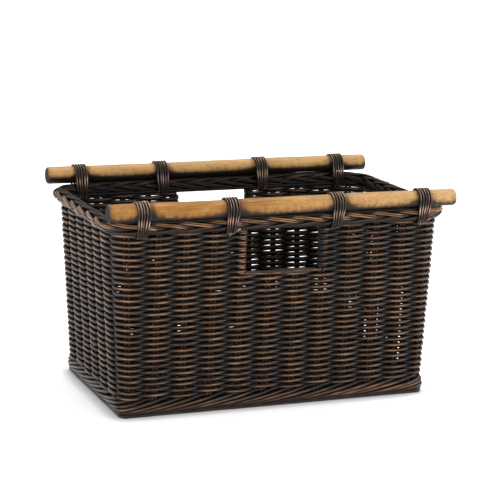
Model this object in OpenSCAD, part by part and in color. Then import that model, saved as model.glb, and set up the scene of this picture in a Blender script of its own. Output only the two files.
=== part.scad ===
// Wicker log basket: an open rectangular basket with a plaited rim border, a hand hole in each
// long wall and a wooden pole lashed along each long rim. X runs along the poles, Y from front
// to back and Z up. The origin is on the standing plane, at the centre of the basket.

/* [Walls] */
// Half length of the wall's middle surface at the rim
wall_half_x = 255; // [254:1:262]
// Half width of the wall's middle surface at the rim
wall_half_y = 156; // [150:1:172]
// Height of the weave's top, where the border starts
weave_top = 275; // [240:1:320]
// How far each wall leans outwards from foot to border
wall_lean = 15.5; // [8:0.5:20]
// Radius of the wall's corners at the border
corner_r = 36; // [33:0.5:40]
// Thickness of the woven wall
weave_t = 11; // [9:0.5:13]

/* [Stakes] */
// Diameter of one stake rod
stake_d = 5; // [4:0.1:5.4]

/* [Hand holes] */
// Width of a hand hole
hole_w = 110; // [96:1:112]
// Height of a hand hole, measured down from the border
hole_h = 69; // [50:1:90]

/* [Foot and floor] */
// Height of the foot wale
foot_h = 27; // [20:1:34]
// Thickness of the foot wale
foot_t = 15; // [14:0.5:18]
// Height of the floor mat's underside above the ground
floor_z = 8; // [4:0.5:12]
// Thickness of the floor mat
floor_t = 8; // [7:0.5:10]

/* [Rim border] */
// Width of the plaited border
border_w = 24.6; // [20:0.2:25.2]
// Height of the plaited border
border_h = 20; // [16:0.5:22]
// How far the border's centre line lies outside the short walls' middle surface
border_out_x = 4; // [3:0.5:6]
// How far the border's centre line lies outside the long walls' middle surface
border_out_y = 4.5; // [0:0.5:6]
// Radius of the border's centre line at the corners
border_corner_r = 40; // [36:1:42]

/* [Poles] */
// Length of a pole
pole_len = 540; // [500:5:620]
// Diameter of a pole
pole_d = 26; // [25.4:0.2:26]
// How far a pole's axis lies outside the border's centre line
pole_out = 5.5; // [0:0.5:6]
// Radius of the eased edge at a pole's ends
pole_ease = 2; // [0.5:0.5:4]

/* [Lashings] */
// Diameter of the lashing cane
cane_d = 3.6; // [2.5:0.1:3.8]
// Turns in each lashing
turns = 5; // [3:1:5]
// Distance from one turn to the next
turn_pitch = 4.1; // [4:0.1:4.4]
// Distance of the inner lashings from the middle of the pole
lash_inner = 83; // [79:1:89]
// Distance of the outer lashings from the middle of the pole
lash_outer = 216; // [208:1:217]

/* [Hidden] */
$fn = 48;

// Colours
CANE = "#3a2a20";
CANE_DARK = "#2a1e18";
CANE_RIM = "#4a3424";
POLE = "#b98a52";
BINDING = "#5a3f2c";

// Clearance between pieces that lie against each other
gap = 0.25;
// How far a cutting shape runs past what it cuts
over = 1;

// The middle surface leans out by wall_lean over weave_top, so its offset at a height is a line
tilt = atan(wall_lean / weave_top);
function lean_at(z) = wall_lean * z / weave_top;
corner_x = wall_half_x - corner_r;
corner_y = wall_half_y - corner_r;
foot_r = corner_r - wall_lean;

// Bundles of stakes along each long and each short wall, with one more at every corner
long_bundles = 10;
short_bundles = 6;

// Bundles stand at an even pitch round the middle surface, half a pitch either side of the middle
quarter_path = corner_x + corner_y + (foot_r + corner_r) / 2 * PI / 2;
stake_pitch = quarter_path / ((long_bundles + short_bundles) / 2 + 1);
stake_foot_z = 3;
stake_gap = 0.2;
channel_w = 2 * stake_d + stake_gap + 2 * gap;
channel_d = stake_d + 2 * gap;
last_long = (long_bundles - 1) / 2 * stake_pitch;
corner_turn = (last_long + stake_pitch - corner_x) / ((foot_r + corner_r) / 2) * 180 / PI;

hole_floor_z = weave_top - hole_h;

// The foot wale stands on the ground, with its two lower edges rounded
foot_inner = foot_r + lean_at(foot_h / 2) - foot_t / 2;
foot_edge_r = 5;

// The floor's ring lies inside the foot wale, and the mat fills the ring
frame_rod_d = floor_t;
ring_r = foot_inner - gap - frame_rod_d / 2;
floor_rod_z = floor_z + floor_t / 2;
mat_r = foot_inner - frame_rod_d - 2 * gap;
mat_half_x = corner_x + mat_r;
mat_half_y = corner_y + mat_r;

// The border's centre line
border_z = weave_top + gap + border_h / 2;
border_x = wall_half_x + border_out_x;
border_y = wall_half_y + border_out_y;
border_cx = border_x - border_corner_r;
border_cy = border_y - border_corner_r;

// A pole lies on the border
pole_y = border_y + pole_out;
pole_z = border_z + border_h / 2 + gap + pole_d / 2;

// Centre line of a lashing's turn: a half circle over the pole, two straights and a half circle
// under the border
wrap_r = pole_d / 2 + cane_d / 2 + gap;
wrap_rise = pole_z - border_z;
wrap_len = sqrt(pow(wrap_rise, 2) + pow(pole_out, 2));
wrap_tilt = atan2(pole_out, wrap_rise);

// Section of a leaning wall between two heights: x is the distance outwards from the corner's
// centre, for a slab of thickness t
module wall_section(z0, z1, t) {
    polygon([
        [foot_r + lean_at(z0) - t / 2, z0],
        [foot_r + lean_at(z0) + t / 2, z0],
        [foot_r + lean_at(z1) + t / 2, z1],
        [foot_r + lean_at(z1) - t / 2, z1]
    ]);
}

// Runs a section along a wall from a to b, with its distance outwards measured from dist.
// A turn of 0 is the front wall, -90 the left, 90 the right and 180 the back.
module along_wall(turn, dist, a, b) {
    rotate([0, 0, turn]) translate([b, -dist, 0]) rotate([90, 0, -90])
        linear_extrude(b - a) children();
}

// Sweeps a section through a quarter turn about the corner centre (cx, cy)
module round_corner(cx, cy, turn) {
    translate([cx, cy, 0]) rotate([0, 0, turn]) rotate_extrude(angle = 90) children();
}

// Bundle places: [x, y, turn] of the middle surface at the ground
function long_x(i) = (i - (long_bundles - 1) / 2) * stake_pitch;
function short_y(i) = (i - (short_bundles - 1) / 2) * stake_pitch;
FRONT = [for (i = [0 : long_bundles - 1]) [long_x(i), -corner_y - foot_r, 0]];
BACK = [for (i = [0 : long_bundles - 1]) [long_x(i), corner_y + foot_r, 180]];
LEFT = [for (i = [0 : short_bundles - 1]) [-corner_x - foot_r, short_y(i), -90]];
RIGHT = [for (i = [0 : short_bundles - 1]) [corner_x + foot_r, short_y(i), 90]];
function corner_place(sx, sy, turn) =
    [sx * corner_x + foot_r * sin(turn), sy * corner_y - foot_r * cos(turn), turn];
FRONT_LEFT = corner_place(-1, -1, -corner_turn);
FRONT_RIGHT = corner_place(1, -1, corner_turn);
BACK_LEFT = corner_place(-1, 1, 180 + corner_turn);
BACK_RIGHT = corner_place(1, 1, 180 - corner_turn);

// The hand hole cuts short the bundles that would cross it
function crosses_hole(place) = abs(place[0]) < hole_w / 2;

// Stands children on a bundle's place, leaning outwards with the wall
module at_bundle(place) {
    translate([place[0], place[1], 0]) rotate([0, 0, place[2]]) rotate([tilt, 0, 0]) children();
}

// Two rods side by side, from the foot up to a height
module bundle(place, top) {
    for (side = [-1, 1])
        at_bundle(place) translate([side * (stake_d + stake_gap) / 2, 0, stake_foot_z])
            cylinder(d = stake_d, h = (top - stake_foot_z) / cos(tilt) - gap);
}

// The channels that the bundles pass through
module channels(places) {
    for (place = places)
        at_bundle(place) translate([-channel_w / 2, -channel_d / 2, stake_foot_z - gap])
            cube([channel_w, channel_d, weave_top + floor_t]);
}

// Room for the lashings to pass through the top of the wall, under the border
module lashing_notches() {
    notch_w = (turns - 1) * turn_pitch + cane_d + 2 * gap;
    notch_h = wrap_r + cane_d / 2 + gap - (border_z - weave_top);
    for (x = [-lash_outer, -lash_inner, lash_inner, lash_outer])
        translate([x - notch_w / 2, -border_y - border_w, weave_top - notch_h])
            cube([notch_w, 2 * (border_y + border_w), notch_h + gap]);
}

// ---- Foot and floor ----

module foot_section() {
    translate([foot_inner, foot_edge_r]) square([foot_t, foot_h - foot_edge_r - gap]);
    translate([foot_inner + foot_edge_r, 0]) square([foot_t - 2 * foot_edge_r, foot_h / 2]);
    for (s = [foot_inner + foot_edge_r, foot_inner + foot_t - foot_edge_r])
        translate([s, foot_edge_r]) circle(r = foot_edge_r);
}

module foot_run(turn, dist, half_len, places) {
    color(CANE_DARK) difference() {
        along_wall(turn, dist, -half_len, half_len) foot_section();
        channels(places);
    }
}

module foot_corner(sx, sy, turn, places) {
    color(CANE_DARK) difference() {
        round_corner(sx * corner_x, sy * corner_y, turn) foot_section();
        channels(places);
    }
}

module rounded_plate(half_x, half_y, r, h) {
    linear_extrude(h) {
        square([2 * half_x, 2 * (half_y - r)], center = true);
        square([2 * (half_x - r), 2 * half_y], center = true);
        for (sx = [-1, 1], sy = [-1, 1])
            translate([sx * (half_x - r), sy * (half_y - r)]) circle(r = r);
    }
}

module frame_rod_section() {
    translate([ring_r, floor_rod_z]) circle(d = frame_rod_d);
}

// The ring that the floor mat's edge turns round
module base_frame_rod() {
    color(CANE_DARK) {
        for (turn = [0, 180])
            along_wall(turn, corner_y, -corner_x, corner_x) frame_rod_section();
        for (turn = [-90, 90])
            along_wall(turn, corner_x, -corner_y, corner_y) frame_rod_section();
        round_corner(corner_x, corner_y, 0) frame_rod_section();
        round_corner(-corner_x, corner_y, 90) frame_rod_section();
        round_corner(-corner_x, -corner_y, 180) frame_rod_section();
        round_corner(corner_x, -corner_y, 270) frame_rod_section();
    }
}

module base_rods() {
    color(CANE)
        for (i = [0 : short_bundles - 1], side = [-1, 1])
            translate([gap - mat_half_x, short_y(i) + side * (stake_d + stake_gap) / 2, floor_rod_z])
                rotate([0, 90, 0]) cylinder(d = stake_d, h = 2 * (mat_half_x - gap));
}

module base_weave() {
    color(CANE_DARK) difference() {
        translate([0, 0, floor_z]) rounded_plate(mat_half_x, mat_half_y, mat_r, floor_t);
        for (i = [0 : short_bundles - 1])
            translate([-mat_half_x - over, short_y(i) - channel_w / 2, floor_rod_z - channel_d / 2])
                cube([2 * (mat_half_x + over), channel_w, channel_d]);
    }
}

// ---- Stakes ----

module long_stakes(places) {
    color(CANE)
        for (place = places)
            bundle(place, crosses_hole(place) ? hole_floor_z : weave_top);
}

module full_stakes(places) {
    color(CANE)
        for (place = places)
            bundle(place, weave_top);
}

// ---- Walls ----

module wall_run(turn, dist, a, b, z0, z1, places) {
    color(CANE) difference() {
        along_wall(turn, dist, a, b) wall_section(z0, z1, weave_t);
        channels(places);
        lashing_notches();
    }
}

// The wall beside a hand hole. Its weavers turn back round the bundle at the hole's edge,
// which gives it a rounded end there. side is -1 for the part at negative x.
module wall_beside_hole(turn, side, places) {
    end_x = hole_w / 2 + weave_t / 2;
    z0 = hole_floor_z + gap;
    color(CANE) difference() {
        union() {
            along_wall(turn, corner_y, side < 0 ? -corner_x : end_x, side < 0 ? -end_x : corner_x)
                wall_section(z0, weave_top, weave_t);
            intersection() {
                rotate([0, 0, turn]) translate([side * end_x, -corner_y - foot_r, 0])
                    rotate([tilt, 0, 0]) cylinder(d = weave_t, h = weave_top + weave_t);
                translate([-wall_half_x, -wall_half_x, z0])
                    cube([2 * wall_half_x, 2 * wall_half_x, weave_top - z0]);
            }
        }
        channels(places);
        lashing_notches();
    }
}

module wall_corner(sx, sy, turn, places) {
    color(CANE) difference() {
        round_corner(sx * corner_x, sy * corner_y, turn) wall_section(foot_h, weave_top, weave_t);
        channels(places);
        lashing_notches();
    }
}

// ---- Rim border ----

module border_section() {
    translate([border_corner_r, border_z]) intersection() {
        circle(d = border_w);
        square([border_w, border_h], center = true);
    }
}

module border_run(turn, dist, half_len) {
    color(CANE_RIM) along_wall(turn, dist, -half_len, half_len) border_section();
}

module border_corner(sx, sy, turn) {
    color(CANE_RIM) round_corner(sx * border_cx, sy * border_cy, turn) border_section();
}

// ---- Poles and lashings ----

module pole(side) {
    r = pole_d / 2;
    color(POLE) translate([-pole_len / 2, side * pole_y, pole_z]) rotate([0, 90, 0])
        rotate_extrude() {
            square([r - pole_ease, pole_len]);
            translate([0, pole_ease]) square([r, pole_len - 2 * pole_ease]);
            for (z = [pole_ease, pole_len - pole_ease])
                translate([r - pole_ease, z]) circle(r = pole_ease);
        }
}

module half_turn() {
    rotate([90, 0, 90]) rotate_extrude(angle = 180) translate([wrap_r, 0]) circle(d = cane_d);
}

module turn_of_cane() {
    translate([0, 0, wrap_len]) half_turn();
    rotate([180, 0, 0]) half_turn();
    for (side = [-1, 1])
        translate([0, side * wrap_r, 0]) cylinder(d = cane_d, h = wrap_len);
}

// side is -1 on the front rim and 1 on the back rim
module lashing(x, side) {
    color(BINDING)
        for (i = [0 : turns - 1])
            translate([x + (i - (turns - 1) / 2) * turn_pitch, side * border_y, border_z])
                rotate([-side * wrap_tilt, 0, 0]) turn_of_cane();
}

// ---- Sub-parts ----

module foot_wale_front() { foot_run(0, corner_y, corner_x, FRONT); }
module foot_wale_back() { foot_run(180, corner_y, corner_x, BACK); }
module foot_wale_left() { foot_run(-90, corner_x, corner_y, LEFT); }
module foot_wale_right() { foot_run(90, corner_x, corner_y, RIGHT); }
module foot_wale_corner_front_left() { foot_corner(-1, -1, 180, concat(LEFT, [FRONT_LEFT])); }
module foot_wale_corner_front_right() { foot_corner(1, -1, 270, concat(RIGHT, [FRONT_RIGHT])); }
module foot_wale_corner_back_left() { foot_corner(-1, 1, 90, concat(LEFT, [BACK_LEFT])); }
module foot_wale_corner_back_right() { foot_corner(1, 1, 0, concat(RIGHT, [BACK_RIGHT])); }

module stakes_front() { long_stakes(FRONT); }
module stakes_back() { long_stakes(BACK); }
module stakes_left() { full_stakes(LEFT); }
module stakes_right() { full_stakes(RIGHT); }
module stakes_corner() { full_stakes([FRONT_LEFT, FRONT_RIGHT, BACK_LEFT, BACK_RIGHT]); }

module weave_front_below_hole() {
    wall_run(0, corner_y, -corner_x, corner_x, foot_h, hole_floor_z, FRONT);
}
module weave_back_below_hole() {
    wall_run(180, corner_y, -corner_x, corner_x, foot_h, hole_floor_z, BACK);
}
module weave_front_left_of_hole() { wall_beside_hole(0, -1, FRONT); }
module weave_front_right_of_hole() { wall_beside_hole(0, 1, FRONT); }
module weave_back_left_of_hole() { wall_beside_hole(180, 1, BACK); }
module weave_back_right_of_hole() { wall_beside_hole(180, -1, BACK); }
module weave_left() { wall_run(-90, corner_x, -corner_y, corner_y, foot_h, weave_top, LEFT); }
module weave_right() { wall_run(90, corner_x, -corner_y, corner_y, foot_h, weave_top, RIGHT); }
module weave_corner_front_left() { wall_corner(-1, -1, 180, concat(LEFT, [FRONT_LEFT])); }
module weave_corner_front_right() { wall_corner(1, -1, 270, concat(RIGHT, [FRONT_RIGHT])); }
module weave_corner_back_left() { wall_corner(-1, 1, 90, concat(LEFT, [BACK_LEFT])); }
module weave_corner_back_right() { wall_corner(1, 1, 0, concat(RIGHT, [BACK_RIGHT])); }

module border_front() { border_run(0, border_cy, border_cx); }
module border_back() { border_run(180, border_cy, border_cx); }
module border_left() { border_run(-90, border_cx, border_cy); }
module border_right() { border_run(90, border_cx, border_cy); }
module border_corner_front_left() { border_corner(-1, -1, 180); }
module border_corner_front_right() { border_corner(1, -1, 270); }
module border_corner_back_left() { border_corner(-1, 1, 90); }
module border_corner_back_right() { border_corner(1, 1, 0); }

module pole_front() { pole(-1); }
module pole_back() { pole(1); }

module lashing_front_1() { lashing(-lash_outer, -1); }
module lashing_front_2() { lashing(-lash_inner, -1); }
module lashing_front_3() { lashing(lash_inner, -1); }
module lashing_front_4() { lashing(lash_outer, -1); }
module lashing_back_1() { lashing(-lash_outer, 1); }
module lashing_back_2() { lashing(-lash_inner, 1); }
module lashing_back_3() { lashing(lash_inner, 1); }
module lashing_back_4() { lashing(lash_outer, 1); }

base_frame_rod();
base_rods();
base_weave();
foot_wale_front();
foot_wale_back();
foot_wale_left();
foot_wale_right();
foot_wale_corner_front_left();
foot_wale_corner_front_right();
foot_wale_corner_back_left();
foot_wale_corner_back_right();
stakes_front();
stakes_back();
stakes_left();
stakes_right();
stakes_corner();
weave_front_below_hole();
weave_front_left_of_hole();
weave_front_right_of_hole();
weave_back_below_hole();
weave_back_left_of_hole();
weave_back_right_of_hole();
weave_left();
weave_right();
weave_corner_front_left();
weave_corner_front_right();
weave_corner_back_left();
weave_corner_back_right();
border_front();
border_back();
border_left();
border_right();
border_corner_front_left();
border_corner_front_right();
border_corner_back_left();
border_corner_back_right();
pole_front();
pole_back();
lashing_front_1();
lashing_front_2();
lashing_front_3();
lashing_front_4();
lashing_back_1();
lashing_back_2();
lashing_back_3();
lashing_back_4();
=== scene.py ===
import math

import bpy
import numpy as np
from mathutils import Matrix, Vector


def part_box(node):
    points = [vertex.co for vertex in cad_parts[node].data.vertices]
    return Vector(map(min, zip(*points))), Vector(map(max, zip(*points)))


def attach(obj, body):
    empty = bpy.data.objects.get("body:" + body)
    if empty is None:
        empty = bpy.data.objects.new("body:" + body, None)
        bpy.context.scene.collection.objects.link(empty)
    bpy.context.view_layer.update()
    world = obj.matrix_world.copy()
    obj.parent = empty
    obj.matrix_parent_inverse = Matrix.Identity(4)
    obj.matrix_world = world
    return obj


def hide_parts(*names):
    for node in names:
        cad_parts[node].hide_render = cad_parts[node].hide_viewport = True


# Wicker log basket: every cane of the woven walls, floor, foot and plaited rim as its own tube, the
# two lashed poles, and their materials. Lengths are in metres in the frame's own axes: X along the
# poles, Y from front to back and Z up.

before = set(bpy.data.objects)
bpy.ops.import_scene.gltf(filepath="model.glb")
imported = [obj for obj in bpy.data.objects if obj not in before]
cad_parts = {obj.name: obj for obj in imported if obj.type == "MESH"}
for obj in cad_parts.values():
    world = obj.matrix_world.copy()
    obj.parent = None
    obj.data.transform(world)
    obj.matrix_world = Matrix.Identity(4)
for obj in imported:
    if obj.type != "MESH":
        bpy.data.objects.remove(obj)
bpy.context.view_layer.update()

MM = 0.001
TAU = 2 * math.pi
UP = np.array([0.0, 0.0, 1.0])
ALONG_X = np.array([1.0, 0.0, 0.0])
rng = np.random.default_rng(20)


# ---- Measures taken from the frame ----

def box(node):
    """The lowest and highest corner of a CAD node."""
    low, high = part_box(node)
    return np.array(low), np.array(high)


CORNERS = ["front_left", "front_right", "back_left", "back_right"]
WALLS = ["front", "back", "left", "right"]
BUNDLES = 36
SHORT_BUNDLES = 6

corner_x = box("weave_front_below_hole")[1][0]
corner_y = box("weave_right")[1][1]
weave_bottom = box("weave_right")[0][2]
weave_top = box("weave_right")[1][2]
sill_z = box("weave_front_below_hole")[1][2]
hole_half = -box("weave_front_left_of_hole")[1][0]

# The wall's inner face at two heights gives its slope, and the outer face its thickness
inner_low = box("weave_back_below_hole")[0][1]
inner_mid = box("weave_back_left_of_hole")[0][1]
mid_z = box("weave_back_left_of_hole")[0][2]
outer_top = box("weave_back_left_of_hole")[1][1]
lean = (inner_mid - inner_low) / (mid_z - weave_bottom)
inner_top = inner_low + lean * (weave_top - weave_bottom)
wall_t = outer_top - inner_top
foot_r = (inner_top + outer_top) / 2 - corner_y - lean * weave_top
mid_r = foot_r + lean * weave_top / 2

quarter = corner_x + corner_y + mid_r * math.pi / 2
pitch = 4 * quarter / BUNDLES

rim_low, rim_high = box("border_corner_back_right")
rim_cx, rim_cy = rim_low[0], rim_low[1]
rim_w = box("border_front")[1][1] - box("border_front")[0][1]
rim_h = rim_high[2] - rim_low[2]
rim_z = (rim_high[2] + rim_low[2]) / 2
rim_x = rim_high[0] - rim_w / 2
rim_y = rim_high[1] - rim_w / 2

# ---- Cane sizes and counts ----

weaver_d = 4.5 * MM
weaver_tall = 1.26
stake_d = box("base_rods")[1][2] - box("base_rods")[0][2]
edge_wrap_d = 3.5 * MM
sill_d = 4.9 * MM
sill_inner_d = 4.4 * MM
strand_d = 5.2 * MM
lining_d = 4.8 * MM
plait_d = 3.2 * MM
core_d = 5.0 * MM
seat_d = 4.4 * MM
lashing_d = 3.3 * MM

# Rows of weaver below the hand holes' lower edge and beside the holes
rows_below = 41
rows_beside = 16
last_row = rows_below + rows_beside - 1

# Points along a cane for every bundle it passes, and round it
steps = 12
sides = 10

# The places of a closed round's points, in bundle pitches
round_u = np.arange(BUNDLES * steps) / steps

# How narrow the rubbed streak along a cane is: the higher, the narrower
WEAVER_RIDGE = 3.6
STRAND_RIDGE = 2.2
PLAIT_RIDGE = 1.8
LASHING_RIDGE = 2.4

# The bundle at a hand hole's edge, in pitches from the hole's middle
HOLE_EDGE = 1.5


# ---- Paths round the basket ----

def ring(u):
    """Corner centre and outward direction at u bundle pitches round the wall, counter-clockwise seen
    from above. u is 0 in the middle of the front wall and the bundles stand at k + 0.5."""
    s = np.mod(np.asarray(u, float) * pitch, 4 * quarter)
    side = np.floor(s / (2 * quarter))
    s = s - side * 2 * quarter
    flip = 1 - 2 * side
    arc = mid_r * math.pi / 2
    turn = np.clip((s - corner_x) / arc, 0, 1) + np.clip((s - corner_x - arc - 2 * corner_y) / arc, 0, 1)
    x = np.where(s < quarter, np.minimum(s, corner_x), corner_x)
    x = np.where(s > 2 * quarter - corner_x, 2 * quarter - s, x)
    y = np.clip(s - corner_x - arc, 0, 2 * corner_y) - corner_y
    a = (turn - 1) * math.pi / 2
    centre = np.column_stack([x, y]) * flip[:, None]
    out = np.column_stack([np.cos(a), np.sin(a)]) * flip[:, None]
    return centre, out


def on_wall(u, z, off=0.0):
    """Points at height z, off outwards from the wall's middle surface, and the outward directions."""
    centre, out = ring(u)
    dist = foot_r + lean * z + off
    points = np.column_stack([centre + out * np.reshape(dist, (-1, 1)), np.broadcast_to(z, len(centre))])
    return points, np.column_stack([out, np.zeros(len(out))])


def rim_line(u):
    """The border's centre line abreast of u, and its outward direction."""
    centre, out = ring(u)
    reach = np.array([rim_x - corner_x, rim_y - corner_y])
    dist = np.min(reach / np.maximum(np.abs(out), 1e-9), axis=1)
    point = centre + out * dist[:, None]
    to_arc = np.array([rim_cx - corner_x, rim_cy - corner_y])
    bent = np.all(np.abs(point) > [rim_cx, rim_cy], axis=1)
    along = np.abs(out) @ to_arc
    rim_r = rim_x - rim_cx
    arc_dist = along + np.sqrt(np.maximum(along ** 2 - to_arc @ to_arc + rim_r ** 2, 0))
    point = np.where(bent[:, None], centre + out * arc_dist[:, None], point)
    from_arc = point - np.clip(point, [-rim_cx, -rim_cy], [rim_cx, rim_cy])
    normal = from_arc / np.linalg.norm(from_arc, axis=1)[:, None]
    return point, normal


def on_rim(u, angle, radius):
    """Points round the border's section. angle is 0 on the outer side and a quarter turn on top."""
    point, normal = rim_line(u)
    squat = rim_h / rim_w
    away = radius * np.cos(angle)
    xy = point + normal * np.reshape(away, (-1, 1))
    z = rim_z + radius * np.sin(angle) * squat
    out = np.column_stack([normal * np.reshape(np.cos(angle), (-1, 1)), np.sin(angle)])
    return np.column_stack([xy, z]), out


def wander(u, amount, waves=5):
    """A smooth random drift that closes after a turn round the basket."""
    drift = np.zeros(len(u))
    for k in range(1, waves + 1):
        drift += rng.normal() * np.sin(TAU * (k * u / BUNDLES + rng.random())) / k
    return amount * drift


def each_bundle(u, amount):
    """A random value at every bundle, joined smoothly."""
    values = rng.normal(0, amount, BUNDLES + 1)
    values[-1] = values[0]
    return np.interp(np.mod(u, BUNDLES), np.arange(BUNDLES + 1), values)


# ---- Canes ----

def unit(v):
    return v / np.maximum(np.linalg.norm(v, axis=-1, keepdims=True), 1e-12)


class Canes:
    """Canes gathered into one mesh. Beside the shape it keeps what the materials read: the tone of
    each cane, how rubbed its surface is, with any painted shade, and where a point lies along and across the
    cane."""

    def __init__(self):
        self.verts, self.faces = [], []
        self.tone, self.wear, self.grain = [], [], []
        self.count = 0

    def add(self, line, d, up=UP, closed=False, wear=0.5, out=None, tone=None, n=sides, ridge=1.6,
            tall=1.0, inner=0.0):
        """A tube of diameter d along line. wear is the rubbing of the side that faces out, with
        any painted shade, inner that of the side that faces away from it, and tall stretches the section
        toward its top."""
        line = np.asarray(line, float)
        m = len(line)
        ahead, behind = np.roll(line, -1, 0), np.roll(line, 1, 0)
        if not closed:
            ahead[-1], behind[0] = line[-1], line[0]
        tangent = unit(ahead - behind)
        side = unit(np.cross(np.broadcast_to(up, line.shape), tangent))
        top = np.cross(tangent, side)
        angle = TAU * np.arange(n) / n
        across = side[:, None] * np.cos(angle)[None, :, None]
        upward = top[:, None] * np.sin(angle)[None, :, None]
        r = np.broadcast_to(np.asarray(d) / 2, m)
        verts = line[:, None] + (across + tall * upward) * r[:, None, None]
        rubbed_and_shaded = np.broadcast_to(wear, m)[:, None] * np.ones(n)
        if out is not None:
            facing = np.einsum("ijk,ik->ij", across + upward, np.broadcast_to(out, line.shape))
            inside = np.broadcast_to(inner, m)[:, None] * np.clip(-facing, 0, 1) ** ridge
            rubbed_and_shaded = rubbed_and_shaded * np.clip(facing, 0, 1) ** ridge + inside
        run = np.concatenate([[0], np.cumsum(np.linalg.norm(np.diff(line, axis=0), axis=1))])
        start = rng.random(3) * 20
        grain = np.stack([
            np.broadcast_to((run + start[0])[:, None], (m, n)),
            r[:, None] * np.cos(angle) + start[1],
            r[:, None] * np.sin(angle) + start[2]], axis=-1)
        self.verts.append(verts.reshape(-1, 3))
        self.wear.append(rubbed_and_shaded.ravel())
        self.grain.append(grain.reshape(-1, 3))
        self.tone.append(np.full(m * n, rng.random() if tone is None else tone))
        i = np.arange(m if closed else m - 1)[:, None] * n
        k = np.arange(n)
        after = (k + 1) % n
        quads = np.stack([i + k, i + after, (i + n + after) % (m * n), (i + n + k) % (m * n)], axis=-1)
        self.faces += (quads.reshape(-1, 4) + self.count).tolist()
        if not closed:
            self.faces.append((self.count + k[::-1]).tolist())
            self.faces.append((self.count + (m - 1) * n + k).tolist())
        self.count += m * n

    def piece(self, name, material, nodes):
        """Makes one object of all the canes."""
        values = {"tone": np.concatenate(self.tone), "wear": np.concatenate(self.wear)}
        verts = np.concatenate(self.verts).tolist()
        return make_piece(name, verts, self.faces, values, np.concatenate(self.grain), material, nodes)


def make_piece(name, verts, faces, values, grain, material, nodes):
    """Makes the object, which rides on the basket and stands for its CAD nodes. The material reads
    the values by name, and the grain as places along and across the piece."""
    mesh = bpy.data.meshes.new(name)
    mesh.from_pydata(verts, [], faces)
    mesh.polygons.foreach_set("use_smooth", [True] * len(mesh.polygons))
    for key, data in values.items():
        layer = mesh.attributes.new(key, "FLOAT", "POINT")
        layer.data.foreach_set("value", np.asarray(data, np.float32))
    layer = mesh.attributes.new("grain", "FLOAT_VECTOR", "POINT")
    layer.data.foreach_set("vector", np.asarray(grain, np.float32).ravel())
    mesh.materials.append(material)
    mesh.update()
    made = bpy.data.objects.new(name, mesh)
    bpy.context.scene.collection.objects.link(made)
    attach(made, "root")
    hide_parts(*nodes)
    return made


# ---- Materials ----

BLACK = (0, 0, 0)
WHITE = (1, 1, 1)
WOOD_DARK = (0.20, 0.080, 0.016)
WOOD = (0.37, 0.168, 0.036)
WOOD_LIGHT = (0.52, 0.275, 0.080)
# A pale wood colour painted where light falls on the poles
WOOD_PAINTED_LIGHT = (0.66, 0.43, 0.19)
PORE = (0.13, 0.055, 0.016)
# Burnt wood's brown and black, which also paint the shade under the poles
BURNT_AND_SHADE_BROWN = (0.085, 0.034, 0.010)
CHAR_AND_SHADE_BLACK = (0.009, 0.007, 0.006)
# Painted shade on the poles' sawn end faces
END_SHADE_DARK = (0.012, 0.011, 0.012)
END_SHADE_PALE = (0.040, 0.038, 0.040)
ESPRESSO = (0.0040, 0.0030, 0.0025)


class Nodes:
    """A short way to write a node tree."""

    def __init__(self, name):
        self.material = bpy.data.materials.new(name)
        self.material.use_nodes = True
        self.tree = self.material.node_tree
        self.shader = self.tree.nodes["Principled BSDF"]

    def add(self, kind, inputs=None, **props):
        made = self.tree.nodes.new(kind)
        for key, value in props.items():
            setattr(made, key, value)
        for key, value in (inputs or {}).items():
            self.set(made.inputs[key], value)
        return made

    def set(self, socket, value):
        if hasattr(value, "links"):
            self.tree.links.new(value, socket)
        else:
            socket.default_value = value

    def attribute(self, name, output="Fac"):
        return self.add("ShaderNodeAttribute", attribute_name=name).outputs[output]

    def math(self, operation, a, b=0.0, clamp=False):
        made = self.add("ShaderNodeMath", {0: a, 1: b}, operation=operation)
        made.use_clamp = clamp
        return made.outputs[0]

    def noise(self, vector, scale, detail=3.0, roughness=0.55):
        made = self.add("ShaderNodeTexNoise", {"Vector": vector, "Scale": scale, "Detail": detail,
                                               "Roughness": roughness})
        return made.outputs["Fac"]

    def stretch(self, vector, amounts):
        return self.add("ShaderNodeMapping", {"Vector": vector, "Scale": amounts}).outputs[0]

    def ramp(self, fac, stops):
        made = self.add("ShaderNodeValToRGB", {"Fac": fac})
        points = made.color_ramp.elements
        while len(points) < len(stops):
            points.new(0.5)
        for point, (at, colour) in zip(points, stops):
            point.position = at
            point.color = (*colour, 1)
        return made.outputs["Color"]

    def mix(self, fac, a, b, blend="MIX"):
        made = self.add("ShaderNodeMix", data_type="RGBA", blend_type=blend)
        self.set(made.inputs[0], fac)
        self.set(made.inputs[6], a if hasattr(a, "links") else (*a, 1))
        self.set(made.inputs[7], b if hasattr(b, "links") else (*b, 1))
        return made.outputs[2]

    def span(self, value, low, high):
        return self.add("ShaderNodeMapRange", {"Value": value, "To Min": low, "To Max": high}).outputs[0]

    def bump(self, height, distance, strength=0.6):
        made = self.add("ShaderNodeBump", {"Height": height, "Distance": distance, "Strength": strength})
        return made.outputs[0]


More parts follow.
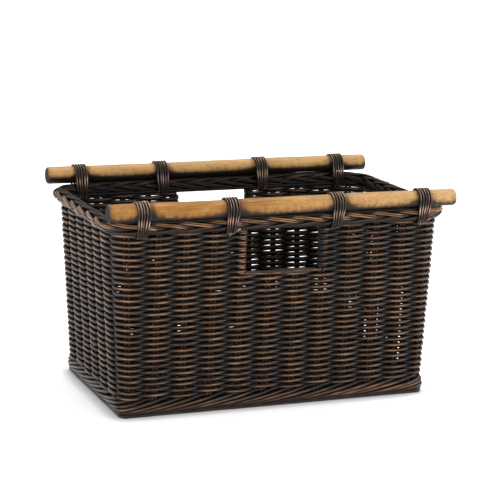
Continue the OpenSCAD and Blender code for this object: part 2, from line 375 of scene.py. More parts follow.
def cane_material(name, stain, rubbed_and_shaded, bright, roughness=(0.30, 0.50), gloss=0.28):
    """Stained cane: dark in the hollows, rubbed back to brown where it stands out."""
    m = Nodes(name)
    grain = m.attribute("grain", "Vector")
    streaks = m.noise(m.stretch(grain, (30, 900, 900)), 1.0, 4.0, 0.6)
    patches = m.noise(m.stretch(grain, (45, 160, 160)), 1.0, 2.0)
    worn = m.math("MULTIPLY", m.attribute("wear"), m.span(patches, 0.35, 1.55))
    worn = m.math("ADD", worn, m.span(streaks, -0.22, 0.22), clamp=True)
    colour = m.ramp(worn, [(0.12, stain), (0.55, rubbed_and_shaded), (0.95, bright)])
    tone = m.span(m.attribute("tone"), 0.72, 1.25)
    shade = m.add("ShaderNodeCombineColor", {0: tone, 1: tone, 2: tone}).outputs[0]
    colour = m.mix(1.0, colour, shade, "MULTIPLY")
    m.set(m.shader.inputs["Base Color"], colour)
    m.set(m.shader.inputs["Roughness"], m.span(streaks, *roughness))
    m.set(m.shader.inputs["Normal"], m.bump(streaks, 0.25 * MM))
    m.shader.inputs["Specular IOR Level"].default_value = gloss
    return m.material


def pole_material():
    """Honey-coloured wood with fine grain, painted paler where light falls on it, dark underneath where it
    is partly burnt and partly painted shade, burnt beside the lashings, and with end faces painted nearly
    black as shade.
    """
    m = Nodes("pole_wood")
    grain = m.attribute("grain", "Vector")
    fine = m.noise(m.stretch(grain, (14, 420, 420)), 1.0, 6.0, 0.65)
    broad = m.noise(m.stretch(grain, (16, 50, 50)), 1.0, 3.0)
    flecks = m.noise(m.stretch(grain, (160, 90, 90)), 1.0, 3.0)
    ticks = m.noise(m.stretch(grain, (110, 700, 700)), 1.0, 2.0)

    # Sound wood: three browns, painted paler for the light on it, toward the front pole's right end and
    # evenly on the back pole, with dark pores
    base = m.math("ADD", m.math("MULTIPLY", fine, 0.5), m.math("MULTIPLY", broad, 0.5))
    base = m.ramp(base, [(0.35, WOOD_DARK), (0.5, WOOD), (0.62, WOOD_LIGHT)])
    base = m.mix(m.attribute("painted_light_pale"), base, WOOD_PAINTED_LIGHT)
    base = m.mix(m.ramp(ticks, [(0.58, BLACK), (0.72, (0.70, 0.70, 0.70))]), base, PORE)

    # Burnt wood, and painted shade under the pole: brown first, then black
    burn_and_shade = m.math("ADD", m.attribute("wear"), m.span(flecks, -0.30, 0.30))
    burn_and_shade = m.math("ADD", burn_and_shade, m.span(fine, -0.18, 0.18), clamp=True)
    brown = m.mix(m.ramp(burn_and_shade, [(0.10, BLACK), (0.60, WHITE)]), base, BURNT_AND_SHADE_BROWN)
    colour = m.mix(m.ramp(burn_and_shade, [(0.50, BLACK), (0.90, WHITE)]), brown, CHAR_AND_SHADE_BLACK)

    # The sawn end faces are rough, and painted nearly black as painted shade
    end = m.attribute("tone")
    face = m.ramp(m.noise(m.stretch(grain, (900, 500, 500)), 1.0), [(0.35, END_SHADE_DARK), (0.7, END_SHADE_PALE)])
    rough = m.math("MAXIMUM", m.span(fine, 0.34, 0.56), m.math("MULTIPLY", end, 0.9))
    m.set(m.shader.inputs["Base Color"], m.mix(end, colour, face))
    m.set(m.shader.inputs["Roughness"], rough)
    m.shader.inputs["Specular IOR Level"].default_value = 0.18
    m.set(m.shader.inputs["Normal"], m.bump(fine, 0.3 * MM, 0.5))
    return m.material


def floor_material():
    """A pale floor that glows evenly like a lit table, with a painted shadow close round the basket, where
    its glow fades.
    """
    m = Nodes("studio_floor")
    coords = m.add("ShaderNodeTexCoord").outputs["Object"]
    reach = (corner_x + foot_r, corner_y + foot_r, 0.0)
    far = m.add("ShaderNodeVectorMath", {0: coords}, operation="ABSOLUTE").outputs[0]
    far = m.add("ShaderNodeVectorMath", {0: far, 1: reach}, operation="SUBTRACT").outputs[0]
    far = m.add("ShaderNodeVectorMath", {0: far, 1: BLACK}, operation="MAXIMUM").outputs[0]
    far = m.add("ShaderNodeVectorMath", {0: far}, operation="LENGTH").outputs["Value"]
    # Painted shadow: the glow falls from 0.42 to 0.05 close round the basket's foot
    glow_with_painted_shadow = m.add("ShaderNodeMapRange", {"Value": far, "From Min": 5 * MM, "From Max": 28 * MM,
                                        "To Min": 0.05, "To Max": 0.42}, interpolation_type="SMOOTHSTEP")
    tint = m.ramp(m.noise(coords, 2.0), [(0.3, (0.93, 0.93, 0.93)), (0.7, (0.95, 0.95, 0.95))])
    m.set(m.shader.inputs["Base Color"], tint)
    m.shader.inputs["Roughness"].default_value = 0.9
    m.shader.inputs["Emission Color"].default_value = (1, 1, 1, 1)
    m.set(m.shader.inputs["Emission Strength"], glow_with_painted_shadow.outputs[0])
    return m.material


# Each cane's stain, then its colour where it is rubbed and where it is rubbed bright
wall_cane = cane_material("wall_cane", ESPRESSO, (0.044, 0.0215, 0.011), (0.325, 0.162, 0.070), gloss=0.22)
foot_cane = cane_material("foot_cane", ESPRESSO, (0.037, 0.019, 0.011), (0.20, 0.100, 0.048))
rim_cane = cane_material("rim_cane", ESPRESSO, (0.042, 0.021, 0.012), (0.35, 0.168, 0.068), gloss=0.22)
stake_cane = cane_material("stake_cane", ESPRESSO, (0.03, 0.017, 0.011), (0.12, 0.06, 0.03))
floor_cane = cane_material("floor_cane", ESPRESSO, (0.04, 0.021, 0.012), (0.18, 0.085, 0.04))
binding_cane = cane_material("binding_cane", ESPRESSO, (0.042, 0.025, 0.017), (0.56, 0.36, 0.24), gloss=0.20)
pole_wood = pole_material()


# ---- Walls ----

def weaver_height(row):
    """Height of a weaver's middle, counting rows from the foot."""
    if row < rows_below:
        return weave_bottom + (row + 0.5) * (sill_z - weave_bottom) / rows_below
    return sill_z + (row - rows_below + 0.5) * (weave_top - sill_z) / rows_beside


def weaver_off(u, row):
    """How far out a weaver lies: it passes outside one bundle and inside the next."""
    swing = np.cos(math.pi * (u - 0.5 + row))
    return (stake_d + weaver_d) / 2 * np.sign(swing) * np.abs(swing) ** 0.85


def weaver_wear(off):
    """Weavers are rubbed where they stand out, and hardly at all inside the basket."""
    return np.clip(0.20 + 1.15 * off / (wall_t / 2), 0.06, 0.86)


def full_rows(first, last, name):
    """Closed rounds of weaver, from row first up to row last."""
    canes = Canes()
    u = round_u
    for row in range(first, last):
        off = weaver_off(u, row) * (1 + each_bundle(u, 0.07))
        z = weaver_height(row) + wander(u, 0.20 * MM) + each_bundle(u, 0.17 * MM)
        points, out = on_wall(u, z, off)
        d = weaver_d * (1 + each_bundle(u, 0.03))
        canes.add(points, d, closed=True, wear=weaver_wear(off), out=out, tall=weaver_tall,
                  ridge=WEAVER_RIDGE, inner=0.9 * weaver_wear(-off))
    nodes = [f"weave_{w}_below_hole" for w in ("front", "back")]
    nodes += ["weave_left", "weave_right"] + [f"weave_corner_{c}" for c in CORNERS]
    return canes.piece(name, wall_cane, nodes)


def edge_turn(u_edge, into_hole, z0, z1):
    """A weaver's turn and a half round the bundle at a hand hole's edge, from inside to outside."""
    a = np.radians(np.arange(-90, 451, 30))[1:-1]
    z = np.interp(a, [a[0], a[-1]], [z0, z1])
    half_w = stake_d - 0.2 * MM + edge_wrap_d / 2
    half_d = (stake_d + edge_wrap_d) / 2
    u = u_edge + into_hole * half_w / pitch * np.cos(a)
    points, out = on_wall(u, z, half_d * np.sin(a))
    points = points + rng.normal(0, 0.12 * MM, points.shape)
    # Painted shade: at the edges where into_hole is below 0 the wraps are darkened to 0.4 of their rubbing
    rubbed_and_shaded = 1.0 if into_hole > 0 else 0.4
    wear = rubbed_and_shaded * np.clip(0.5 + 0.6 * np.sin(a) + 0.3 * np.cos(a), 0.1, 1)
    return points, np.full(len(a), edge_wrap_d), wear, out, 0.3 * wear


def crossing(u, row):
    """A weaver's way from one hand hole to the next. It is thinner where it turns at the holes."""
    off = weaver_off(u, row) * (1 + each_bundle(u, 0.06))
    z = weaver_height(row) + wander(u, 0.15 * MM) + each_bundle(u, 0.2 * MM)
    points, out = on_wall(u, z, off)
    from_edge = np.minimum(u - u[0], u[-1] - u)
    wear = weaver_wear(off) * np.interp(from_edge, [0, 0.12, 0.3, 0.7], [1, 1, 0.4, 1])
    width = np.interp(from_edge, [0, 0.1, 0.5], [edge_wrap_d, edge_wrap_d, weaver_d])
    return points, width, wear, out, 0.9 * weaver_wear(-off)


def beside_holes(u0, u1, name, nodes):
    """The weaver between two hand holes goes to and fro, turning round the bundle at each hole."""
    parts = []
    u = np.linspace(u0, u1, int(round((u1 - u0) * steps)) + 1)
    for row in range(rows_below, last_row + 1):
        forward = weaver_off(u[:1], row)[0] > 0
        part = crossing(u, row)
        parts.append(part if forward else [values[::-1] for values in part])
        if row < last_row:
            edge, into = (u1, 1) if forward else (u0, -1)
            parts.append(edge_turn(edge, into, weaver_height(row), weaver_height(row + 1)))
    points, width, wear, out, inner = (np.concatenate(values) for values in zip(*parts))
    canes = Canes()
    canes.add(points, width, wear=wear, out=out, tall=weaver_tall, ridge=WEAVER_RIDGE, inner=inner)
    return canes.piece(name, wall_cane, nodes)


def hole_sill(middle, name, node):
    """A heavier weaver laid over the cut bundles along the hole's bottom edge, and one inside it."""
    canes = Canes()
    reach = hole_half / pitch + 0.28
    u = middle + np.linspace(-reach, reach, 40)
    off = 3.2 * MM + 1.6 * MM * np.cos(TAU * (u - middle) / 2.6)
    off = off * (1 - np.abs((u - middle) / reach) ** 8)
    z = sill_z + 1.4 * MM + 0.5 * MM * np.sin(3 * (u - middle))
    points, out = on_wall(u, z, off)
    canes.add(points, sill_d, wear=0.7, out=out, tone=0.8)
    points, out = on_wall(u, z + 0.3 * MM, -off * 0.9)
    canes.add(points, sill_inner_d, wear=0.3, out=-out)
    return canes.piece(name, wall_cane, [node])


def stake_bundles(places, name, nodes):
    """Pairs of rods from the foot to the border, or to the sill where a hand hole cuts them."""
    canes = Canes()
    for u in places:
        x = on_wall(np.array([u]), np.array([sill_z]))[0][0]
        cut = abs(x[0]) < hole_half and abs(x[1]) > corner_y
        top = sill_z - 0.5 * MM if cut else rim_z - 2 * MM
        for side in (-1, 1):
            z = np.linspace(3 * MM, top, 24)
            sway = rng.normal(0, 0.12 * MM, 2)
            beside = side * stake_d / 2 + sway[0] * np.sin(z * 25)
            points, out = on_wall(np.full(24, u) + beside / pitch, z, sway[1] * np.cos(z * 31))
            canes.add(points, stake_d * (1 + rng.normal(0, 0.015)), up=out, wear=0.35, out=out)
    return canes.piece(name, stake_cane, nodes)


def wall_at(u):
    """The wall on which the bundle at u stands, or corner."""
    out = ring([u])[1][0]
    if np.all(np.abs(out) > 0.01):
        return "corner"
    if abs(out[1]) > 0.5:
        return "front" if out[1] < 0 else "back"
    return "left" if out[0] < 0 else "right"


def build_walls():
    bands = [0, 14, 28, rows_below]
    names = ["weavers_lower", "weavers_middle", "weavers_upper"]
    for name, first, last in zip(names, bands, bands[1:]):
        full_rows(first, last, name)
    half_round = BUNDLES / 2
    beside_holes(HOLE_EDGE, half_round - HOLE_EDGE, "weavers_right_of_holes",
                 ["weave_front_right_of_hole", "weave_back_right_of_hole"])
    beside_holes(half_round + HOLE_EDGE, BUNDLES - HOLE_EDGE, "weavers_left_of_holes",
                 ["weave_front_left_of_hole", "weave_back_left_of_hole"])
    hole_sill(0.0, "hole_sill_front", "weave_front_below_hole")
    hole_sill(half_round, "hole_sill_back", "weave_back_below_hole")
    places = np.arange(BUNDLES) + 0.5
    for wall in WALLS + ["corner"]:
        stake_bundles([u for u in places if wall_at(u) == wall], f"stake_rods_{wall}", [f"stakes_{wall}"])


# ---- Foot ----

# Strands round the foot, the bundles each climbs over, how far the corners are drawn out toward the
# floor, and the rings of lining inside
STRANDS = 54
STRAND_SPAN = 3.0
FOOT_SHARP = 6.0 * MM
LINING_RINGS = 5
FOOT_NODES = [f"foot_wale_{w}" for w in WALLS] + [f"foot_wale_corner_{c}" for c in CORNERS]


def on_foot(u, z, off):
    """Points as on_wall gives them, with the corners drawn out toward the floor."""
    points, out = on_wall(u, z, off)
    at_corner = (2 * np.abs(out[:, 0] * out[:, 1])) ** 3
    sharp = FOOT_SHARP * at_corner * np.clip(1 - z / weave_bottom, 0, 1)
    return points + out * sharp[:, None], out


def smooth(values):
    """Rounds the turns of a curve and keeps its ends."""
    for _ in range(3):
        inner = (values[:-2] + 2 * values[1:-1] + values[2:]) / 4
        values = np.concatenate([values[:1], inner, values[-1:]])
    return values


def foot_strands(name):
    """Slanting rods, three to every two bundles: each comes out low, climbs to the right over three
    bundles and tucks in behind the wall's first rows."""
    canes = Canes()
    climb = weave_bottom - strand_d
    lowest = 0.56 * strand_d
    t = np.linspace(0, 1.2, 30)
    rise = climb * (0.56 * t + 0.44 * t ** 2)
    off = np.interp(t, [0, 0.23, 0.46, 0.6, 0.9, 1.2], np.array([-3.6, 1.2, 3.7, 4.4, 4.0, -2.0]) * MM)
    off = smooth(off)
    wear = np.interp(t, [0, 0.3, 0.5, 0.85, 1.1], [0.15, 0.45, 0.9, 0.85, 0.2])
    for k in range(STRANDS):
        u = k * BUNDLES / STRANDS + rng.normal(0, 0.04) + STRAND_SPAN * t
        z = lowest + rise + rng.normal(0, 0.35 * MM) * np.sin(math.pi * t)
        points, out = on_foot(u, np.clip(z, lowest, weave_bottom), off + rng.normal(0, 0.25 * MM))
        canes.add(points, strand_d * (1 + rng.normal(0, 0.04)), wear=wear, out=out, ridge=STRAND_RIDGE)
    return canes.piece(name, foot_cane, FOOT_NODES)


def foot_lining(name):
    """Rings inside the stakes that close the foot, and the bottom rod on which the strands lie."""
    canes = Canes()
    u = round_u
    for level in range(LINING_RINGS):
        points, out = on_wall(u, (3.0 + 5.4 * level) * MM + each_bundle(u, 0.15 * MM), -5.1 * MM)
        canes.add(points, lining_d, closed=True, wear=0.1, out=out)
    z = 0.52 * strand_d + np.abs(each_bundle(u, 0.25 * MM))
    points, out = on_foot(u, z, 1.0 * MM + each_bundle(u, 0.3 * MM))
    canes.add(points, strand_d, closed=True, wear=0.55, out=out)
    return canes.piece(name, foot_cane, FOOT_NODES)


def build_foot():
    foot_strands("foot_wale_strands")
    foot_lining("foot_wale_lining")


# ---- Rim border ----

RIM_NODES = [f"border_{w}" for w in WALLS] + [f"border_corner_{c}" for c in CORNERS]

# The core's rods twist round each other once in every CORE_TURN bundles
CORE_RODS = 5
CORE_TURN = 6


def rim_family(name, start, end, span, depth, dive_in, dive_out, wear):
    """One family of the plait: from every bundle a pair of rods runs to the right over span bundles,
    round the border's section from angle start to angle end. A dive is the share of its length, and
    the depth, in which it tucks under its neighbours at that end."""
    canes = Canes()
    t = np.linspace(0, 1, 24)
    for k in range(BUNDLES):
        stagger = rng.normal(0, 0.04)
        swell = rng.normal(0, 0.35 * MM)
        for side in (-1, 1):
            u = k + stagger + span * t
            radius = rim_w / 2 - plait_d / 2 - depth + swell * np.sin(math.pi * t)
            radius = radius - dive_in[1] * np.clip(1 - t / dive_in[0], 0, 1) ** 1.5
            radius = radius - dive_out[1] * np.clip(1 - (1 - t) / dive_out[0], 0, 1) ** 1.5
            angle = np.radians(start + (end - start) * t) + side * 0.46 * plait_d / radius
            angle = angle + rng.normal(0, 0.02)
            points, out = on_rim(u, angle, radius)
            shade = wear * np.interp(t, [0, 0.2, 0.8, 1], [0.5, 1, 1, 0.5])
            canes.add(points, plait_d * (1 + rng.normal(0, 0.03)), up=out, wear=shade, out=out,
                      ridge=PLAIT_RIDGE)
    return canes.piece(name, rim_cane, RIM_NODES)


def rim_core(name):
    """Rods that run round inside the plait and fill it, over rods that lie on the wall's top edge."""
    canes = Canes()
    u = np.arange(BUNDLES * 6) / 6
    for rod in range(CORE_RODS):
        twist = TAU * (rod / CORE_RODS + u / CORE_TURN)
        points = on_rim(u, twist, 4.3 * MM)[0]
        canes.add(points, core_d, closed=True, wear=0.1)
    for off in (-4.5 * MM, -0.5 * MM, 3.5 * MM, 7.0 * MM):
        points, out = on_wall(u, weave_top + 2.3 * MM, off)
        canes.add(points, core_d, closed=True, wear=0.15, out=out)
    return canes.piece(name, rim_cane, RIM_NODES)


def pole_seats(name):
    """Rods along each long rim that fill the border under its pole."""
    canes = Canes()
    x = np.linspace(-rim_cx, rim_cx, 40)
    for sign in (-1, 1):
        for out, rise in ((2.6 * MM, 8.5 * MM), (7.2 * MM, 8.2 * MM)):
            line = np.column_stack([x, np.full(40, sign * (rim_y + out)), np.full(40, rim_z + rise)])
            canes.add(line, seat_d, wear=0.1)
    return canes.piece(name, rim_cane, ["border_front", "border_back"])


def build_rim():
    rim_family("border_risers", -80, 8, 1.7, 1.3 * MM, (0.15, 4 * MM), (0.30, 4 * MM), 0.55)
    rim_family("border_falls", 48, -6, 1.45, 0.0, (0.20, 5 * MM), (0.20, 5 * MM), 1.0)
    rim_family("border_climbs", 40, 152, 2.1, 1.0 * MM, (0.25, 4 * MM), (0.15, 4 * MM), 0.6)
    rim_family("border_inner", 250, 134, 1.9, 1.6 * MM, (0.15, 4 * MM), (0.25, 4 * MM), 0.4)
    rim_core("border_core")
    pole_seats("border_pole_seats")


# ---- Floor ----

def rounded_reach(x, half_x, half_y, r):
    """Half width of a rounded rectangle at x."""
    beyond = np.clip(abs(x) - (half_x - r), 0, r)
    return half_y - r + math.sqrt(max(r * r - beyond * beyond, 0))


mat_low, mat_high = box("base_frame_rod")
frame_rod_d = mat_high[2] - mat_low[2]
mat_z = (mat_high[2] + mat_low[2]) / 2
mat_x = mat_high[0] - frame_rod_d / 2
mat_y = mat_high[1] - frame_rod_d / 2
mat_r = mat_x - corner_x
wrap_r = (frame_rod_d + weaver_d) / 2


def floor_frame_rod():
    """The closed rod round which the mat's weaver turns."""
    canes = Canes()
    centre, out = ring(round_u)
    points = np.column_stack([centre + out * mat_r, np.full(len(round_u), mat_z)])
    canes.add(points, frame_rod_d * 0.92, closed=True, wear=0.3, n=12)
    canes.piece("floor_frame_rod", floor_cane, ["base_frame_rod"])


def floor_rods():
    """Pairs of lengthwise rods that carry the mat."""
    canes = Canes()
    for k in range(SHORT_BUNDLES):
        y = (k - (SHORT_BUNDLES - 1) / 2) * pitch
        into_arc = max(abs(y) - corner_y, 0)
        reach = corner_x + math.sqrt(mat_r * mat_r - into_arc ** 2) - frame_rod_d / 2
        for side in (-1, 1):
            x = np.linspace(-reach, reach, 40)
            wave = 0.2 * MM * np.sin(x * 40 + k + side)
            line = np.column_stack([x, y + side * stake_d / 2 + wave, np.full(40, mat_z)])
            canes.add(line, stake_d, wear=0.35, out=UP)
    canes.piece("floor_rods", floor_cane, ["base_rods"])


def last_side(row):
    """1 where a crossing passes over the last pair of rods, and -1 where it passes under."""
    return np.sign(np.cos(math.pi * ((SHORT_BUNDLES - 1) / 2 - 0.5 + row)))


def floor_crossing(row, x):
    """The mat's weaver from front to back, over one pair of rods and under the next."""
    edge = rounded_reach(x, mat_x, mat_y, mat_r)
    y = np.linspace(-edge, edge, 64)
    lift = (stake_d + weaver_d) / 2 * np.cos(math.pi * (y / pitch - 0.5 + row))
    near_edge = 12 * MM
    beyond = np.clip((np.abs(y) - (edge - near_edge)) / near_edge, 0, 1)
    side = np.where(y > 0, -last_side(row), last_side(row))
    lift = lift * (1 - beyond) + side * wrap_r * beyond
    return np.column_stack([np.full(64, x), y, mat_z + lift])


def floor_turn(row, x, step):
    """The weaver's half turn round the frame rod, on to the next crossing."""
    a = np.radians(np.arange(15, 180, 30))
    way = -1 if row % 2 else 1
    y = way * (rounded_reach(x, mat_x, mat_y, mat_r) + wrap_r * np.sin(a))
    z = mat_z - way * last_side(row) * wrap_r * np.cos(a)
    return np.column_stack([x + step * a / math.pi, y, z])


def floor_weavers():
    """One long weaver to and fro across the rods."""
    end_x = mat_x - wrap_r
    rows = int(2 * end_x / (weaver_d * 1.02))
    xs = np.linspace(-end_x, end_x, rows)
    lines = []
    for row, x in enumerate(xs):
        line = floor_crossing(row, x)
        lines.append(line[::-1] if row % 2 else line)
        if row < rows - 1:
            lines.append(floor_turn(row, x, xs[1] - xs[0]))
    canes = Canes()
    canes.add(np.concatenate(lines), weaver_d, up=ALONG_X, wear=0.5, out=UP, n=8, tall=1.16)
    canes.piece("floor_weavers", floor_cane, ["base_weave"])


def build_floor():
    floor_frame_rod()
    floor_rods()
    floor_weavers()


# ---- Poles and lashings ----

# Points round a pole, and the share of its thickness that it loses from the middle to its right end
POLE_SIDES = 48
POLE_TAPER = {"front": 0.055, "back": 0.01}
pole_angles = TAU * np.arange(POLE_SIDES) / POLE_SIDES

# How dark the wood is, by the angle in degrees above the pole's middle: partly burnt, partly painted shade
# underneath
POLE_UNDER = {"front": ([-90, -66, -50, -26, 2, 42], [1.1, 1.0, 0.66, 0.32, 0.10, 0.0]),
              "back": ([-90, -38, -20, -4, 14, 45], [1.1, 1.0, 0.70, 0.30, 0.08, 0.0])}

# Each pole's lashings, counted from the left, and how far each sits along the pole from its even
# place, as bound by hand
LASHINGS = (1, 2, 3, 4)
LASHING_DRIFT = {"front": (-5 * MM, -4 * MM, -5 * MM, 1 * MM), "back": (-2 * MM, -2 * MM, 1 * MM, 2 * MM)}
TURNS = 5
TURN_POINTS = 48

# The lashings whose short end stands out
TAILED = (2, 4)


def lashing_boxes(side):
    return [box(f"lashing_{side}_{i}") for i in LASHINGS]


def pole_body(side, low, high):
    """Rings of points along a pole that is a little tapered, oval, lumpy and bowed, and the middles
    of the rings."""
    r = (high[2] - low[2]) / 2
    ease = 1.8 * MM
    x = np.concatenate([[low[0]], low[0] + ease * np.array([0.3, 1.0]),
                        np.linspace(low[0] + 6 * MM, high[0] - 6 * MM, 110),
                        high[0] - ease * np.array([1.0, 0.3]), [high[0]]])
    trim = np.ones(len(x))
    trim[[0, -1]] = 1 - ease / r
    trim[[1, -2]] = 1 - 0.45 * ease / r
    trim[[2, -3]] = 1 - 0.08 * ease / r
    swell = 1 - POLE_TAPER[side] * x / high[0]
    lumps = sum(0.006 * rng.normal() * np.sin(TAU * (k * x * 2.2 + rng.random())) for k in range(1, 6))
    radius = r * (swell + lumps) * trim
    a, along = pole_angles[None], x[:, None]
    oval = 1 + 0.012 * np.sin(2 * a + 3 * along) + 0.008 * np.sin(3 * a - 9 * along)
    reach = radius[:, None] * oval
    bow = 0.5 * MM * np.sin(math.pi * x / high[0])
    middle = np.column_stack([x, np.full(len(x), (low[1] + high[1]) / 2), (low[2] + high[2]) / 2 + bow])
    way = np.column_stack([0 * pole_angles, np.cos(pole_angles), np.sin(pole_angles)])
    return middle[:, None] + reach[:, :, None] * way, middle


def pole_burn_and_shade(side, x):
    """How dark the wood is: underneath, where it is partly burnt and partly painted shade under the pole,
    and burnt in a wedge beside every lashing and at both ends.
    """
    height = np.sin(pole_angles)
    # Burn and painted shade darken the underside
    under = np.interp(np.degrees(np.arcsin(height)), *POLE_UNDER[side])
    burn_and_shade = np.zeros((len(x), POLE_SIDES)) + under
    for lash_low, lash_high in lashing_boxes(side):
        away = np.maximum(np.maximum(lash_low[0] - x, x - lash_high[0]), 0)
        near = np.exp(-away / (5 * MM))
        wedge = np.exp(-away / (26 * MM))
        burn_and_shade += 0.45 * near[:, None] + 0.55 * wedge[:, None] * np.clip(0.35 - height, 0, 1)[None]
    from_end = np.minimum(x - x[0], x[-1] - x)
    return burn_and_shade + 0.35 * np.exp(-from_end / (6 * MM))[:, None]


def end_face(verts, faces, base, middle, way):
    """Closes a pole's end with a shallow dish of two rings and a middle point, from the ring of
    points that starts at base. way is 1 for the end at low X and -1 for the other."""
    edge = np.array(verts[base:base + POLE_SIDES])
    rim = np.arange(base, base + POLE_SIDES)
    for share, dent in ((0.8, 0.15), (0.4, 0.3)):
        fresh = np.arange(len(verts), len(verts) + POLE_SIDES)
        verts += (middle + (edge - middle) * share + np.array([way * dent * MM, 0, 0])).tolist()
        quads = np.column_stack([rim, np.roll(rim, -1), np.roll(fresh, -1), fresh])
        faces += quads[:, ::way].tolist()
        rim = fresh
    verts.append((middle + np.array([way * 0.35 * MM, 0, 0])).tolist())
    triangles = np.column_stack([rim, np.roll(rim, -1), np.full(POLE_SIDES, len(verts) - 1)])
    faces += triangles[:, ::way].tolist()


def build_pole(side):
    """One pole's wood, with its burnt places, the painted shade under it, and its places painted pale for
    the light on them.
    """
    low, high = box(f"pole_{side}")
    rings, middle = pole_body(side, low, high)
    x = middle[:, 0]
    n = POLE_SIDES
    i = np.arange(len(x) - 1)[:, None] * n
    k = np.arange(n)
    after = (k + 1) % n
    faces = np.stack([i + k, i + n + k, i + n + after, i + after], axis=-1).reshape(-1, 4).tolist()
    verts = rings.reshape(-1, 3).tolist()
    end_face(verts, faces, 0, middle[0], 1)
    end_face(verts, faces, (len(x) - 1) * n, middle[-1], -1)

    face_burn = [0.3] * (2 * n) + [0.5]
    burn_and_shade = np.concatenate([pole_burn_and_shade(side, x).ravel(), face_burn, face_burn])
    end = np.zeros(len(verts))
    end[:n] = 1
    end[(len(x) - 1) * n:] = 1
    painted_light_pale = np.zeros(len(verts))
    # Painted light: the front pole is painted paler toward its right end, where light falls, and the back
    # pole evenly paler
    painted_light_paler = np.clip(0.18 + 0.57 * x / x[-1], 0, 1) if side == "front" else np.full(len(x), 0.48)
    painted_light_pale[:len(x) * n] = np.repeat(painted_light_paler, n)
    values = {"tone": end, "wear": np.clip(burn_and_shade, 0, 1.2), "painted_light_pale": painted_light_pale}
    grain = np.array(verts) + rng.random(3) * 3
    make_piece(f"pole_wood_{side}", verts, faces, values, grain, pole_wood, [f"pole_{side}"])


def wrap_outline(side, count):
    """The closed line of one turn, seen along the pole: over the pole and round the border."""
    low, high = box(f"pole_{side}")
    sign = -1 if side == "front" else 1
    pole = np.array([(low[1] + high[1]) / 2, (low[2] + high[2]) / 2])
    pole_r = (high[2] - low[2]) / 2 + lashing_d / 2
    border = np.array([sign * rim_y, rim_z - 1.0 * MM])
    half = np.array([rim_w / 2 - 0.6 * MM, rim_h / 2 + 3.0 * MM])
    samples = 720
    a = TAU * np.arange(samples) / samples
    way = np.column_stack([np.cos(a), np.sin(a)])
    round_pole = pole + way * pole_r
    spread = np.sqrt((way * half) ** 2 @ np.ones(2))
    round_border = border + way * half ** 2 / spread[:, None]
    farther = np.einsum("ij,ij->i", way, round_pole) > np.einsum("ij,ij->i", way, round_border)
    hull = np.where(farther[:, None], round_pole, round_border)
    hull = np.vstack([hull, hull[:1]])
    run = np.concatenate([[0], np.cumsum(np.linalg.norm(np.diff(hull, axis=0), axis=1))])
    start = run[samples * 3 // 4]
    at = np.mod(start + run[-1] * np.arange(count) / count, run[-1])
    return np.column_stack([np.interp(at, run, hull[:, 0]), np.interp(at, run, hull[:, 1])])


def lashing_tail(canes, side, middle, bottom):
    """The cane's short end, which stands out below the turns."""
    sign = -1 if side == "front" else 1
    base = np.array([middle + 7 * MM, sign * (rim_y + 1.5 * MM), bottom + 3 * MM])
    tip = base + np.array([9 * MM, sign * 5 * MM, 7 * MM])
    start = base - (tip - base) * 0.6
    canes.add(np.linspace(start, tip, 5), lashing_d * 0.9, up=ALONG_X + UP, wear=0.7)


def build_lashing(side, index):
    """Five turns of thin cane round the pole and the border, drawn together at the bottom."""
    low, high = box(f"lashing_{side}_{index}")
    middle = (low[0] + high[0]) / 2 + LASHING_DRIFT[side][index - 1]
    outline = wrap_outline(side, TURN_POINTS)
    outline = np.vstack([outline, outline[:1]])
    step = (high[0] - low[0] - lashing_d) / (TURNS - 1) * 1.02
    t = np.arange(TURNS * TURN_POINTS + 1) / TURN_POINTS
    place = np.mod(t, 1) * TURN_POINTS
    y = np.interp(place, np.arange(TURN_POINTS + 1), outline[:, 0])
    z = np.interp(place, np.arange(TURN_POINTS + 1), outline[:, 1])
    height = (z - z.min()) / (z.max() - z.min())
    drawn = 0.74 + 0.26 * np.clip(height * 1.6, 0, 1)
    jitter = np.interp(t, np.linspace(0, TURNS, 26), rng.normal(0, 0.28 * MM, 26))
    x = middle + (t - TURNS / 2) * step * drawn + jitter
    y = y + np.interp(t, np.linspace(0, TURNS, 16), rng.normal(0, 0.2 * MM, 16))
    line = np.column_stack([x, y, z])
    out = unit((line - np.array([middle, y.mean(), z.mean()])) * [0, 1, 1])
    canes = Canes()
    canes.add(line, lashing_d, up=ALONG_X, wear=0.95, out=out, ridge=LASHING_RIDGE)
    if index in TAILED:
        lashing_tail(canes, side, middle, low[2])
    name = f"lashing_cane_{side}_{index}"
    return canes.piece(name, binding_cane, [f"lashing_{side}_{index}"])


# ---- Studio ----

def build_camera():
    data = bpy.data.cameras.new("camera")
    camera = bpy.data.objects.new("camera", data)
    bpy.context.scene.collection.objects.link(camera)
    data.sensor_width = 36.0
    data.lens = 136.8
    yaw, pitch_down, roll = math.radians(21.06), math.radians(11.95), math.radians(1.15)
    ahead = np.array([math.sin(yaw) * math.cos(pitch_down), math.cos(yaw) * math.cos(pitch_down),
                      -math.sin(pitch_down)])
    level = np.array([math.cos(yaw), -math.sin(yaw), 0.0])
    above = np.cross(level, ahead)
    right = math.cos(roll) * level + math.sin(roll) * above
    top = math.cos(roll) * above - math.sin(roll) * level
    place = np.array([-1.0224, -2.6774, 0.8150])
    matrix = np.eye(4)
    matrix[:3, 0], matrix[:3, 1], matrix[:3, 2], matrix[:3, 3] = right, top, -ahead, place
    camera.matrix_world = Matrix(matrix.tolist())
    data.clip_end = 60
    bpy.context.scene.camera = camera


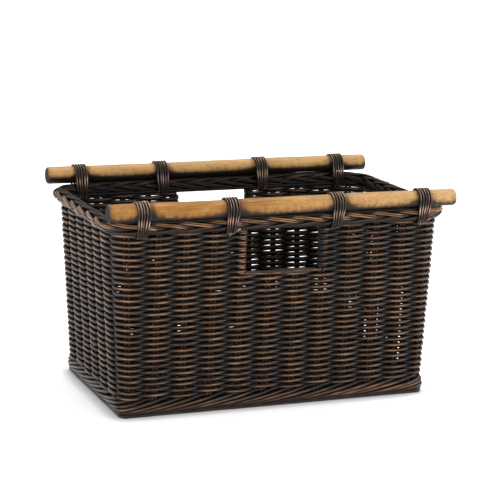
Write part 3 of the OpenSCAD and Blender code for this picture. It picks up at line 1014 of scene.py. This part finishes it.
def area_light(name, place, target, size, power, colour=(1, 1, 1)):
    data = bpy.data.lights.new(name, "AREA")
    data.shape = "DISK"
    data.size = size
    data.energy = power
    data.color = colour
    lamp = bpy.data.objects.new(name, data)
    bpy.context.scene.collection.objects.link(lamp)
    way = unit(np.array(target) - np.array(place))
    side = unit(np.cross(way, UP))
    top = np.cross(side, way)
    aim = np.eye(4)
    aim[:3, 0], aim[:3, 1], aim[:3, 2], aim[:3, 3] = side, top, -way, place
    lamp.matrix_world = Matrix(aim.tolist())


def sun_light(name, way, spread, strength):
    """A soft light that comes from one side over the whole floor."""
    data = bpy.data.lights.new(name, "SUN")
    data.angle = math.radians(spread)
    data.energy = strength
    lamp = bpy.data.objects.new(name, data)
    bpy.context.scene.collection.objects.link(lamp)
    lamp.rotation_mode = "QUATERNION"
    lamp.rotation_quaternion = Vector(way).to_track_quat("Z", "Y")


def light_sky(tree):
    """An even white sky, brighter in a low band where it meets the floor."""
    background = tree.nodes["Background"]
    background.inputs["Color"].default_value = (1, 1, 1, 1)
    direction = tree.nodes.new("ShaderNodeTexCoord").outputs["Generated"]
    height = tree.nodes.new("ShaderNodeSeparateXYZ")
    fade = tree.nodes.new("ShaderNodeMapRange")
    for key, value in (("From Min", 0.12), ("From Max", 0.35), ("To Min", 1.0), ("To Max", 0.55)):
        fade.inputs[key].default_value = value
    tree.links.new(direction, height.inputs[0])
    tree.links.new(height.outputs["Z"], fade.inputs["Value"])
    tree.links.new(fade.outputs[0], background.inputs["Strength"])


def build_studio():
    half = 25.0
    mesh = bpy.data.meshes.new("studio_floor")
    square = [(-half, -half, 0), (half, -half, 0), (half, half, 0), (-half, half, 0)]
    mesh.from_pydata(square, [], [(0, 1, 2, 3)])
    mesh.materials.append(floor_material())
    floor = bpy.data.objects.new("studio_floor", mesh)
    bpy.context.scene.collection.objects.link(floor)
    world = bpy.data.worlds.new("studio")
    bpy.context.scene.world = world
    world.use_nodes = True
    light_sky(world.node_tree)
    sun_light("key", (0.45, 0.55, 2.0), 50, 1.9)
    area_light("fill", (2.9, -2.0, 1.4), (0.1, 0, 0.15), 1.5, 30)
    area_light("left_card", (-2.6, -0.9, 0.7), (-0.2, 0, 0.15), 1.6, 25, (0.88, 0.94, 1.0))
    area_light("right_card", (2.5, -0.9, 0.6), (0.2, 0, 0.15), 1.3, 20, (0.95, 0.97, 1.0))
    bpy.context.scene.view_settings.view_transform = "Standard"


build_camera()
build_studio()
build_walls()
build_foot()
build_rim()
build_floor()
for side in ("front", "back"):
    build_pole(side)
    for index in LASHINGS:
        build_lashing(side, index)
